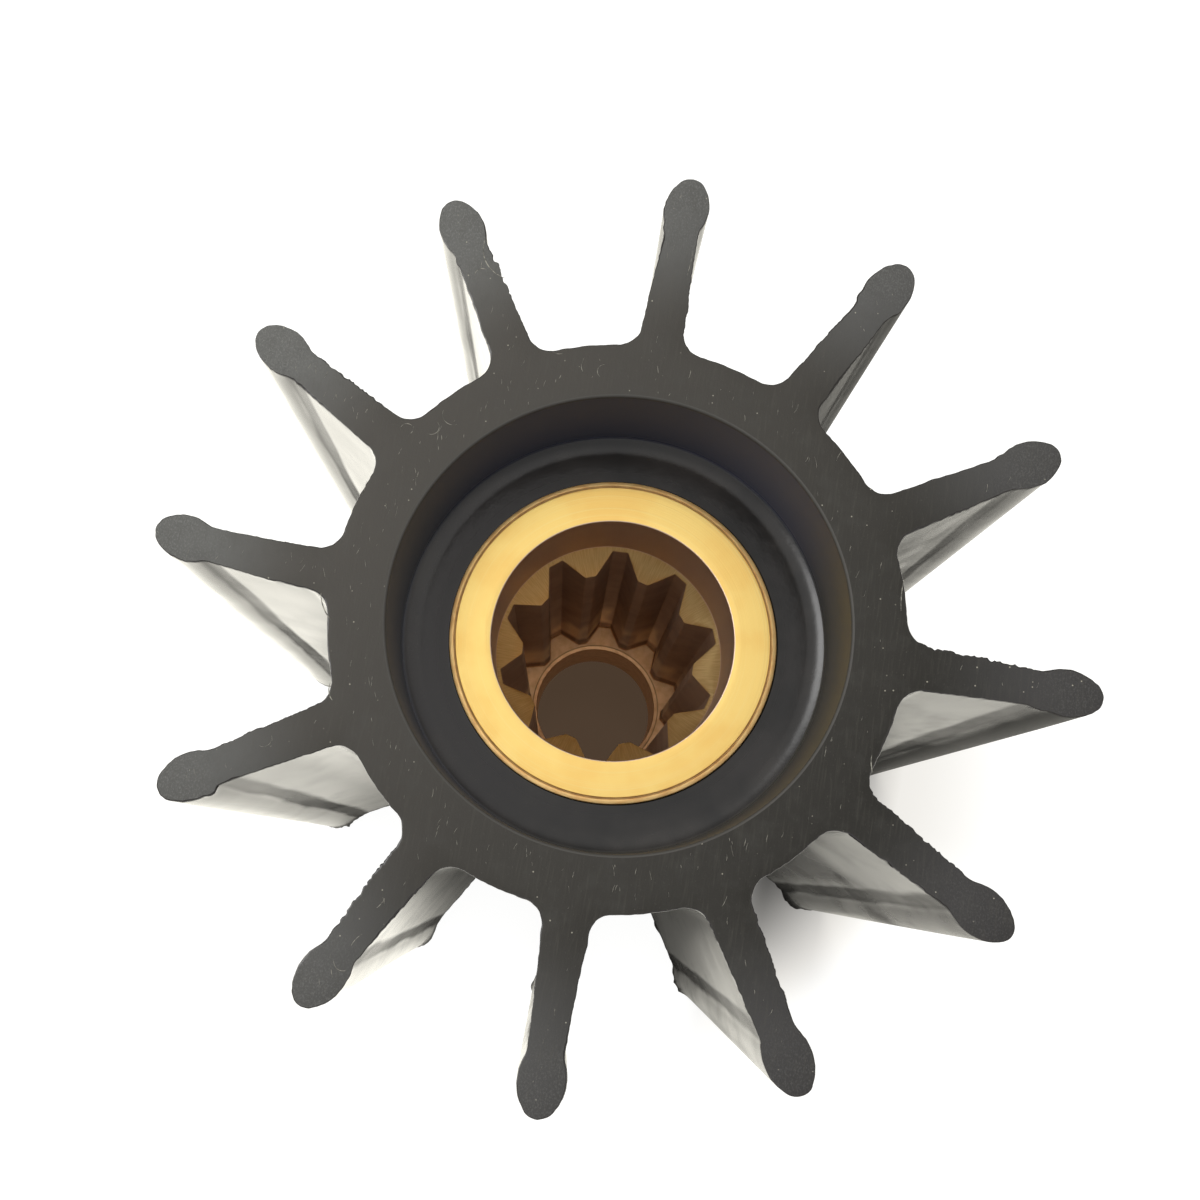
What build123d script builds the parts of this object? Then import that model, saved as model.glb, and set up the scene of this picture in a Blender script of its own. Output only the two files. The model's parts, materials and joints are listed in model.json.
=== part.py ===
from build123d import *
import math
import os

# Flexible impeller of a raw-water pump: a moulded rubber hub with radial vanes, bonded round a brass
# insert that the pump shaft drives through an internal spline.
# Millimetres. +Z is the axis of rotation, and the origin is the centre of the lower hub face. One vane
# points along +X.

# Rubber body
tip_diameter = 95.2          # over the vane tips, not compressed
body_height = 88.9           # hub and vanes share both end planes
vane_count = 12
hub_diameter = 57.1
vane_root_width = 4.5        # vane thickness where it leaves the hub
vane_neck_width = 3.3        # vane thickness where it meets its bead
bead_width = 4.7             # oval bead along the tip of each vane
bead_length = 7.0            # size of the bead along the vane
bead_nose_radius = 1.7       # round at the very tip
neck_fillet = 3.0            # hollow between vane and bead
root_fillet = 2.0            # hollow between vane and hub

# Recess in the upper hub face
recess_diameter = 45.8       # at the rim
recess_draft = 1.0           # degrees that the wall leans in
recess_sweep_width = 2.0     # outer part of the floor, which curves up to the wall
recess_sweep_radius = 4.0    # of that curve, which meets the wall in a crease
recess_rim_round = 0.3
recess_floor_drop = 0.4      # floor of the recess below the insert's face

# Recess in the lower hub face
foot_recess_diameter = 40.0
foot_recess_corner = 1.0

# Brass insert
insert_diameter = 36.0
insert_face_depth = 12.0     # insert's upper face below the upper hub face
insert_foot_depth = 4.0      # insert's lower face above the lower hub face
insert_edge_chamfer = 0.6    # both outer edges
counterbore_diameter = 26.2
counterbore_depth = 11.2
shaft_bore_diameter = 18.0   # plain bore below the spline
bore_edge_chamfer = 0.4      # both ends of the plain bore

# Internal spline
spline_teeth = 10
spline_minor_diameter = 20.2
spline_major_diameter = 25.2
groove_root_width = 1.8
groove_flank_angle = 30.0    # degrees from the groove's centre line to each flank
tooth_corner_round = 0.45
lead_in_slope = 38.0         # degrees that the teeth's upper ends fall towards the axis
spline_length = 49.3         # counterbore floor to the ledge that ends the grooves
spline_turn = 2.4            # degrees from the vane along +Y to the nearest groove

bond_gap = 0.0               # the rubber is bonded to the insert, face to face
overcut = 1.0                # cutters reach this far past the faces that they open
match = 0.001                # sizes this close are the same when an edge or a corner is looked up

tip_radius = tip_diameter / 2
hub_radius = hub_diameter / 2
insert_radius = insert_diameter / 2
insert_face_z = body_height - insert_face_depth
counterbore_floor_z = insert_face_z - counterbore_depth
ledge_z = counterbore_floor_z - spline_length


on_floor = (Align.CENTER, Align.CENTER, Align.MIN)


def at_height(z):
    return Location((0, 0, z))


def vertices_at(section, radius):
    """Corners of a section that lie at this distance from the axis."""
    return [v for v in section.vertices() if abs(math.hypot(v.X, v.Y) - radius) < match]


def circles_of(solid, radius):
    """Circular edges of a solid that have this radius."""
    return [edge for edge in solid.edges().filter_by(GeomType.CIRCLE) if abs(edge.radius - radius) < match]


def oval(length, width, nose_radius):
    """Oval along X: two flat side arcs, each running smoothly into a nose at either end."""
    nose_x = length / 2 - nose_radius
    side_radius = (nose_x**2 + (width / 2) ** 2 - nose_radius**2) / (width - 2 * nose_radius)
    side_y = width / 2 - side_radius
    reach = side_radius / math.hypot(nose_x, side_y)
    tangent_x = nose_x * reach
    tangent_y = side_y - side_y * reach
    top = ThreePointArc((-tangent_x, tangent_y), (0, width / 2), (tangent_x, tangent_y))
    nose = ThreePointArc((tangent_x, tangent_y), (length / 2, 0), (tangent_x, -tangent_y))
    bottom = ThreePointArc((tangent_x, -tangent_y), (0, -width / 2), (-tangent_x, -tangent_y))
    tail = ThreePointArc((-tangent_x, -tangent_y), (-length / 2, 0), (-tangent_x, tangent_y))
    return make_face([top, nose, bottom, tail])


def vane_section():
    """Section of the vane along +X: a web that tapers out from the hub to an oval bead."""
    bead_centre = tip_radius - bead_length / 2
    taper = (vane_root_width - vane_neck_width) / (bead_centre - hub_radius)
    inner_x = hub_radius - vane_root_width
    inner_width = vane_root_width + taper * (hub_radius - inner_x)
    web = make_face(
        Polyline(
            (inner_x, -inner_width / 2),
            (bead_centre, -vane_neck_width / 2),
            (bead_centre, vane_neck_width / 2),
            (inner_x, inner_width / 2),
            close=True,
        )
    )
    section = web + Pos(bead_centre, 0) * oval(bead_length, bead_width, bead_nose_radius)
    neck_corners = section.vertices().group_by(Axis.X)[1]
    return fillet(neck_corners, neck_fillet)


def body_section():
    """Section of hub and vanes, with every vane rounded into the hub."""
    section = Circle(hub_radius)
    one_vane = vane_section()
    for index in range(vane_count):
        section += Rot(0, 0, index * 360 / vane_count) * one_vane
    return fillet(vertices_at(section, hub_radius), root_fillet)


def upper_recess():
    """Cutter for the recess above the insert, turned from one profile."""
    floor_z = insert_face_z - recess_floor_drop
    rim_radius = recess_diameter / 2
    lean = math.tan(math.radians(recess_draft))
    wall_foot_x = rim_radius - (body_height - floor_z) * lean
    sweep_start_x = wall_foot_x - recess_sweep_width
    sweep_rise = recess_sweep_radius - math.sqrt(recess_sweep_radius**2 - recess_sweep_width**2)
    sweep_end = (wall_foot_x + sweep_rise * lean, floor_z + sweep_rise)
    sweep = RadiusArc((sweep_start_x, floor_z), sweep_end, recess_sweep_radius)
    rest = Polyline(
        sweep_end,
        (rim_radius + overcut * lean, body_height + overcut),
        (0, body_height + overcut),
        (0, floor_z),
        (sweep_start_x, floor_z),
    )
    return revolve(Plane.XZ * make_face([sweep, rest]), Axis.Z)


def lower_recess():
    """Cutter for the shallow recess below the insert."""
    cutter = at_height(-overcut) * Cylinder(
        foot_recess_diameter / 2,
        insert_foot_depth + overcut,
        align=on_floor,
    )
    floor_edge = cutter.edges().group_by(Axis.Z)[-1]
    return fillet(floor_edge, foot_recess_corner)


def rubber_body():
    """Hub and vanes as one moulding, with the seat that the insert is bonded in."""
    body = extrude(body_section(), body_height)
    body -= Cylinder(insert_radius + bond_gap, body_height, align=on_floor)
    body -= upper_recess()
    body -= lower_recess()
    return fillet(circles_of(body, recess_diameter / 2), recess_rim_round)


def spline_section():
    """Section of the splined socket: the minor circle and the grooves between the teeth."""
    minor_radius = spline_minor_diameter / 2
    major_radius = spline_major_diameter / 2
    flank = math.tan(math.radians(groove_flank_angle))
    inner_x = minor_radius * math.cos(math.pi / spline_teeth) - tooth_corner_round
    inner_width = groove_root_width + 2 * (major_radius - inner_x) * flank
    groove = make_face(
        Polyline(
            (inner_x, -inner_width / 2),
            (major_radius, -groove_root_width / 2),
            (major_radius, groove_root_width / 2),
            (inner_x, inner_width / 2),
            close=True,
        )
    )
    section = Circle(minor_radius)
    for index in range(spline_teeth):
        section += Rot(0, 0, index * 360 / spline_teeth) * groove
    return fillet(vertices_at(section, minor_radius), tooth_corner_round)


def brass_insert():
    """Turned bush with a counterbore, a broached spline that stops on a ledge, and a plain bore."""
    length = insert_face_z - insert_foot_depth
    bush = at_height(insert_foot_depth) * Cylinder(insert_radius, length, align=on_floor)
    bush = chamfer(bush.edges().filter_by(GeomType.CIRCLE), insert_edge_chamfer)

    counterbore_radius = counterbore_diameter / 2
    minor_radius = spline_minor_diameter / 2
    bore_radius = shaft_bore_diameter / 2
    bush -= at_height(counterbore_floor_z) * Cylinder(counterbore_radius, counterbore_depth, align=on_floor)

    lead_in_depth = (counterbore_radius - minor_radius) * math.tan(math.radians(lead_in_slope))
    bush -= at_height(counterbore_floor_z - lead_in_depth) * Cone(
        minor_radius, counterbore_radius, lead_in_depth, align=on_floor
    )
    first_groove = 90 + spline_turn
    bush -= at_height(ledge_z) * Rot(0, 0, first_groove) * extrude(spline_section(), spline_length)
    bush -= at_height(insert_foot_depth) * Cylinder(
        bore_radius, ledge_z - insert_foot_depth, align=on_floor
    )
    return chamfer(circles_of(bush, bore_radius), bore_edge_chamfer)


os.makedirs("parts", exist_ok=True)
for name, solid in {"rubber_body": rubber_body(), "brass_insert": brass_insert()}.items():
    solid.label = name
    export_step(solid, f"parts/{name}.step")
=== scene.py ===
import json
import math
import bpy
import numpy as np
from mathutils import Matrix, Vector
from mathutils.geometry import delaunay_2d_cdt

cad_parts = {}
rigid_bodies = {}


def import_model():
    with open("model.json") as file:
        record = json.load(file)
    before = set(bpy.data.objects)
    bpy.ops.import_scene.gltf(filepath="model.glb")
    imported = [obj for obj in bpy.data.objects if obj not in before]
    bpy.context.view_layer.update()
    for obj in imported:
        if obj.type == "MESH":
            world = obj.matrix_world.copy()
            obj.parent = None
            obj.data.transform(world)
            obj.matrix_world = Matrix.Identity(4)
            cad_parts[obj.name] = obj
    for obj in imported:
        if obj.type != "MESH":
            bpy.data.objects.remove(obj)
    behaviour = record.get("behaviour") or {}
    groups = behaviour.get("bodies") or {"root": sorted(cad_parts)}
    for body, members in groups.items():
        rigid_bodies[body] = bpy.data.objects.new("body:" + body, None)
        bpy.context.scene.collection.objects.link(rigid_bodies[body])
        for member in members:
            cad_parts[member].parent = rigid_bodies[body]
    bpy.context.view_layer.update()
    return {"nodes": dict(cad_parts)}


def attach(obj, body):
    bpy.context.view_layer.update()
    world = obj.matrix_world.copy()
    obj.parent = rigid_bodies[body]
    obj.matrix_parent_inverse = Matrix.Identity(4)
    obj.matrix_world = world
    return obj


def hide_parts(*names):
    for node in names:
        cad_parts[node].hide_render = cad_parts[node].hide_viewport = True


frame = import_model()
mm = 0.001
print("frame loaded:", sorted(frame["nodes"]))


class Wire:
    # a node's output; adding, multiplying and so on writes the Math nodes
    def __init__(self, tree, socket=None):
        self.tree = tree
        self.socket = socket

    def node(self, kind, settings=None, sockets=None, out=0):
        # any node: its type, its settings, then the values or wires of its sockets
        made = self.tree.nodes.new(kind)
        for key, value in (settings or {}).items():
            setattr(made, key, value)
        for key, value in (sockets or {}).items():
            if isinstance(value, Wire):
                self.tree.links.new(value.socket, made.inputs[key])
            else:
                made.inputs[key].default_value = value
        return Wire(self.tree, made.outputs[out] if len(made.outputs) else None)

    def also(self, out):
        # another output of the same node
        return Wire(self.tree, self.socket.node.outputs[out])

    def math(self, operation, first, second):
        return self.node("ShaderNodeMath", {"operation": operation}, {0: first, 1: second})

    def vector(self, operation, other=(0, 0, 0), out=0):
        return self.node("ShaderNodeVectorMath", {"operation": operation}, {0: self, 1: other}, out=out)

    def __add__(self, other):
        return self.math("ADD", self, other)

    def __radd__(self, other):
        return self.math("ADD", other, self)

    def __sub__(self, other):
        return self.math("SUBTRACT", self, other)

    def __rsub__(self, other):
        return self.math("SUBTRACT", other, self)

    def __mul__(self, other):
        return self.math("MULTIPLY", self, other)

    def __rmul__(self, other):
        return self.math("MULTIPLY", other, self)

    def ramp(self, low, high, toLow=0.0, toHigh=1.0):
        # smooth step from low to high
        spans = {"Value": self, "From Min": low, "From Max": high, "To Min": toLow, "To Max": toHigh}
        return self.node("ShaderNodeMapRange", {"interpolation_type": "SMOOTHSTEP"}, spans)

    def blend(self, first, second):
        # this wire is the share of the second colour
        return self.node("ShaderNodeMix", {"data_type": "RGBA"}, {0: self, 6: first, 7: second}, out=2)

    def shades(self, colours):
        # the same between two screen colours
        return self.blend(*(shade(colour) for colour in colours))

    def tints(self, colours):
        # the same between two linear colours
        return self.blend(*(opaque(colour) for colour in colours))


def newFinish(name):
    material = bpy.data.materials.new(name)
    material.use_nodes = True
    material.node_tree.nodes.clear()
    return material, Wire(material.node_tree)


def shade(colour):
    # screen colour, 0 to 255, as the linear colour that a shader takes
    shares = [value / 255 for value in colour]
    return (*(c / 12.92 if c <= 0.04045 else ((c + 0.055) / 1.055) ** 2.4 for c in shares), 1.0)


def opaque(colour):
    return (*colour, 1)


def stretched(place, x, y, z):
    return place.vector("MULTIPLY", (x, y, z))


def dotted(place, direction):
    return place.vector("DOT_PRODUCT", direction, out=1)


def millimetres(wire):
    # the object's own coordinates, in millimetres
    return stretched(wire.node("ShaderNodeTexCoord", out=3), 1 / mm, 1 / mm, 1 / mm)


def noise(place, scale, detail, roughness=0.5):
    return place.node("ShaderNodeTexNoise", None,
                      {"Vector": place, "Scale": scale, "Detail": detail, "Roughness": roughness})


def split(place):
    parts = place.node("ShaderNodeSeparateXYZ", None, {0: place})
    return parts, parts.also(1), parts.also(2)


def joined(x, y, z):
    return x.node("ShaderNodeCombineXYZ", None, {0: x, 1: y, 2: z})


def fromAxis(place):
    # distance from the axis
    return stretched(place, 1, 1, 0).vector("LENGTH", out=1)


def roundAxis(place):
    # angle round the axis, in radians anticlockwise from +X
    x, y, _ = split(place)
    return place.math("ARCTAN2", y, x)


def bump(height, distance, strength):
    return height.node("ShaderNodeBump", None, {"Height": height, "Distance": distance, "Strength": strength})


def surface(wire, sockets):
    shader = wire.node("ShaderNodeBsdfPrincipled", None, sockets)
    wire.node("ShaderNodeOutputMaterial", None, {"Surface": shader})


def arcPoints(centre, radius, start, end, step):
    # points along an arc in degrees, both ends included
    count = max(2, int(math.ceil(abs(math.radians(end - start)) * radius / step)) + 1)
    angles = np.radians(np.linspace(start, end, count))
    return np.stack([centre[0] + radius * np.cos(angles), centre[1] + radius * np.sin(angles)], 1)


def evenly(path, step):
    # an open path resampled to even steps
    lengths = np.concatenate([[0], np.cumsum(np.hypot(*np.diff(path, axis=0).T))])
    count = int(round(lengths[-1] / step)) + 1
    places = np.linspace(0, lengths[-1], count)
    return np.stack([np.interp(places, lengths, path[:, axis]) for axis in (0, 1)], 1)


def roundedPath(corners, segments):
    # corners are (x, y, radius); radius 0 leaves the corner sharp
    points = []
    for index, (x, y, radius) in enumerate(corners):
        if radius == 0 or index in (0, len(corners) - 1):
            points.append((x, y))
            continue
        here = np.array([x, y])
        back = np.array(corners[index - 1][:2]) - here
        ahead = np.array(corners[index + 1][:2]) - here
        back, ahead = back / np.linalg.norm(back), ahead / np.linalg.norm(ahead)
        half = math.acos(max(-1, min(1, float(back @ ahead)))) / 2
        setBack = radius / math.tan(half)
        middle = (back + ahead) / np.linalg.norm(back + ahead)
        centre = here + middle * radius / math.sin(half)
        first, last = here + back * setBack, here + ahead * setBack
        for share in np.linspace(0, 1, segments + 1):
            spoke = (first - centre) * (1 - share) + (last - centre) * share
            points.append(tuple(centre + spoke / np.linalg.norm(spoke) * radius))
    return points


def placed(name, data):
    thing = bpy.data.objects.new(name, data)
    bpy.context.scene.collection.objects.link(thing)
    return thing


def meshObject(name, points, faces, materials, faceMaterials=None, sharpAngle=35):
    mesh = bpy.data.meshes.new(name)
    mesh.from_pydata([tuple(p * mm) for p in np.asarray(points, float)], [], faces)
    for material in materials:
        mesh.materials.append(material)
    if faceMaterials is not None:
        mesh.polygons.foreach_set("material_index", np.asarray(faceMaterials, np.int32))
    mesh.validate()
    mesh.update()
    mesh.shade_smooth()
    mesh.set_sharp_from_angle(angle=math.radians(sharpAngle))
    return placed(name, mesh)


def ringFaces(first, second, count):
    # quads between two closed rings that start at these point numbers
    return [(first + i, first + (i + 1) % count, second + (i + 1) % count, second + i) for i in range(count)]


def smoothNoise(rng, count, period):
    # closed run of noise, about -1 to 1, that changes every period steps
    knots = max(4, int(round(count / period)))
    values = rng.uniform(-1, 1, knots)
    places = np.arange(count) * knots / count
    low = np.floor(places).astype(int)
    share = places - low
    share = share * share * (3 - 2 * share)
    return values[low % knots] * (1 - share) + values[(low + 1) % knots] * share


rubberSettings = {
    "tipRadius": 47.6,
    "hubRadius": 28.55,
    "height": 88.9,
    "topSink": 0.06,            # moulded face below the very top of its lips and dust
    "vanes": 12,
    "rootWidth": 4.5,
    "neckWidth": 3.3,
    "beadWidth": 4.7,
    "beadLength": 7.0,
    "noseRadius": 1.7,
    "rootFillet": 2.5,
    "neckFillet": 3.0,
    "step": 0.18,               # spacing of points round the outline
    # depths of the rows of points on the walls
    "rowDepths": (0.6, 1.1, 1.9, 3.6, 7, 13, 21, 30, 40, 50, 60, 70, 78, 84, 86.8, 87.6, 88.3),
    "tornFade": 1.5,            # torn edges reach this far down from the top
    "flashFade": 2.4,           # and flash this far up from the foot
    "recessRadius": 22.9,
    "recessFloor": 76.5,
    "recessDraft": 1.0,
    "sweepWidth": 2.0,          # outer part of the recess floor, which curves up to the wall
    "sweepRadius": 4.0,
    "rimShift": 0.17,           # the core pin stood off centre, by this at the rim
    "coreShift": 0.24,          # and by this from the recess floor down
    "rimRound": 0.3,
    "creaseRound": 0.28,        # between the wall and the curve
    "seatRadius": 18.02,        # just clear of the insert
    "lipRadius": 17.64,         # rubber that crept over the edge of the insert
    "lipDepth": 0.5,
    "footRadius": 20.0,
    "footDepth": 4.0,
    "footCorner": 1.0,
    "turns": 300,               # points round the recess
    "edgeRound": (0.05, 0.26),  # smallest and largest round on the outer top edge
    "wander": 0.05,             # how far the moulded walls stray from true
    "capStep": 1.5,             # grid of points on the end faces
    "capMargin": 0.8,           # kept this far from the hub's rim and the recess
    "seed": 12,
    # screen colours, 0 to 255, and roughness; where there are two colours, they are mixed
    "finish": {
        "hub": ((15, 14, 10), (75, 72, 67)),            # painted shaded side and painted lit side, as for the tips
        "tips": ((44, 42, 42), (95, 95, 92)),
        "patches": (58, 57, 53),
        "grindingLines": (74, 72, 65),
        "grain": (88, 86, 80),
        "crumbs": (128, 128, 125),
        "dust": (160, 156, 142),
        "skin": ((40, 38, 38), (50, 48, 47)),
        "scuffs": (28, 27, 27),
        "dull": (44, 42, 40),
        # dark matte finish: painted shade in the necks of the beads, and the darker foot
        "dirt": (36, 34, 33),
        "recessFloor": ((12, 10, 8), (30, 27, 26)),     # east and west; painted lighter on the west, the windows' side
        "recessSweep": ((30, 27, 25), (38, 35, 32)),    # inner and outer part
        "recessWall": ((78, 76, 71), (86, 88, 94)),     # east and west; painted lighter and bluer on the west, the windows' side
        # painted light on the wall towards +Y: lighter and bluer, as lit by the sky
        "recessNorth": (88, 91, 108),
        "recessRim": (62, 60, 56),
        "recessSpecks": (64, 59, 54),
        "faceRough": 0.57,
        "skinRough": 0.12,
        "dullRough": 0.62,
        "dirtRough": 0.85,
        "recessRough": 0.17,
    },
}

# torn top edges by vane direction in degrees: side (1 is anticlockwise), from, to, height, kind
edgeWear = {
    0: [(1, 29, 41.5, 0.23, "saw"), (1, 29.4, 30.6, 0.16, "lump"), (-1, 40.4, 42.9, 0.34, "lump"),
        (-1, 31, 40, 0.05, "saw")],
    330: [(1, 28.4, 41, 0.20, "saw"), (1, 30.5, 32.5, 0.07, "lump"), (-1, 29, 41, 0.07, "saw")],
    300: [(1, 32.4, 34.2, 0.12, "lump"), (1, 35.4, 36.9, 0.10, "lump"), (1, 29.5, 41, 0.12, "saw"),
          (1, 38.2, 39.2, 0.07, "lump"), (-1, 29.5, 41, 0.07, "saw")],
    270: [(1, 29, 34, 0.16, "lump"), (1, 30, 42, 0.03, "saw"), (-1, 33, 41, 0.05, "saw"),
          (-1, 29.2, 33, 0.10, "lump")],
    240: [(-1, 30, 41, 0.20, "saw"), (-1, 32.5, 36, 0.08, "lump"), (1, 30, 41, 0.05, "saw"),
          (1, 41.3, 43.4, 0.16, "lump")],
    210: [(1, 41.9, 43.6, 0.34, "lump"), (1, 30, 41, 0.06, "saw"), (-1, 29, 41, 0.10, "saw"),
          (-1, 36, 38.6, 0.10, "lump")],
    180: [(1, 30, 46, 0.06, "saw"), (1, 33.6, 36, 0.09, "lump"), (-1, 30, 40, 0.05, "saw")],
    150: [(-1, 32, 42, 0.18, "saw"), (1, 34, 46, 0.07, "saw"), (-1, 42, 47, 0.05, "saw")],
    120: [(-1, 34.6, 41.8, 0.24, "saw"), (-1, 37.8, 39.8, 0.13, "lump"), (-1, 30, 36, 0.06, "saw"),
          (1, 40.2, 41.6, 0.20, "lump"), (1, 30, 40, 0.08, "saw")],
    90: [(-1, 32.2, 34.4, 0.14, "lump"), (-1, 29.5, 38, 0.07, "saw"), (1, 29, 40, 0.03, "saw"),
         (1, 41.0, 42.6, 0.16, "lump")],
    60: [(1, 41.2, 42.8, 0.30, "lump"), (1, 32, 39.5, 0.09, "saw"), (-1, 42.4, 43.6, 0.14, "lump"),
         (-1, 36, 42, 0.06, "saw")],
    30: [(1, 33.5, 35.6, 0.09, "lump"), (1, 41.2, 42.4, 0.14, "lump"), (-1, 33.6, 38, 0.09, "saw"),
         (-1, 44, 46.6, 0.10, "lump")],
}

# flash left at the foot of the beads, by vane direction: side, from, to, height
footFlash = {
    330: [(-1, 41, 47.5, 0.55)],
    210: [(1, 40, 47, 0.5)],
    300: [(-1, 42, 47.5, 0.4)],
    0: [(-1, 43, 47.4, 0.25)],
    240: [(1, 42, 47.5, 0.3)],
}

# vanes that have taken a set: shift of the tip lengthways and sideways, and the share kept at the foot
vaneSet = {
    0: (0.0, -0.10, 0.4),
    30: (0.0, 0.25, 0.4),
    60: (0.15, 0.0, 0.4),
    90: (0.0, -0.60, 0.3),
    120: (0.05, 0.28, 0.3),
    150: (-0.20, -0.05, 0.3),
    180: (-0.60, -1.35, 0.25),
    210: (0.0, 0.28, 0.4),
    240: (0.0, 0.25, 0.4),
    270: (0.0, 0.15, 0.4),
    300: (0.15, 0.10, 0.4),
}


def vaneHalf(s):
    # one side of a vane, from the middle of the pocket to the tip, for a vane along +X
    halfRoot, halfNeck = s["rootWidth"] / 2, s["neckWidth"] / 2
    beadX = s["tipRadius"] - s["beadLength"] / 2
    slope = (halfNeck - halfRoot) / (beadX - s["hubRadius"])
    tilt = math.atan(slope)
    noseX = s["beadLength"] / 2 - s["noseRadius"]
    halfBead = s["beadWidth"] / 2
    sideRadius = (noseX ** 2 + halfBead ** 2 - s["noseRadius"] ** 2) / (2 * (halfBead - s["noseRadius"]))
    sideCentre = (beadX, halfBead - sideRadius)

    def filletCentre(fillet, centre, reach, sign):
        # where a line beside the web meets a circle; sign picks the inner or outer crossing
        base = np.array([s["hubRadius"], halfRoot]) + fillet * np.array([-math.sin(tilt), math.cos(tilt)])
        along = np.array([math.cos(tilt), math.sin(tilt)])
        off = base - np.array(centre)
        nearest = float(off @ along)
        root = math.sqrt(nearest * nearest - float(off @ off) + reach * reach)
        return base + along * (-nearest + sign * root)

    rootCentre = filletCentre(s["rootFillet"], (0, 0), s["hubRadius"] + s["rootFillet"], 1)
    neckCentre = filletCentre(s["neckFillet"], sideCentre, sideRadius + s["neckFillet"], -1)
    webNormal = 270 + math.degrees(tilt)
    rootAngle = math.degrees(math.atan2(rootCentre[1], rootCentre[0]))
    neckOut = np.array(neckCentre) - np.array(sideCentre)
    neckAngle = math.degrees(math.atan2(neckOut[1], neckOut[0]))
    noseAngle = math.degrees(math.atan2(-sideCentre[1], noseX))
    step = s["step"] / 3
    return np.concatenate([
        arcPoints((0, 0), s["hubRadius"], 180 / s["vanes"], rootAngle, step),
        arcPoints(rootCentre, s["rootFillet"], 180 + rootAngle, webNormal, step),
        arcPoints(neckCentre, s["neckFillet"], webNormal, 180 + neckAngle, step),
        arcPoints(sideCentre, sideRadius, neckAngle, noseAngle, step),
        arcPoints((beadX + noseX, 0), s["noseRadius"], noseAngle, 0, step),
    ])


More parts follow.
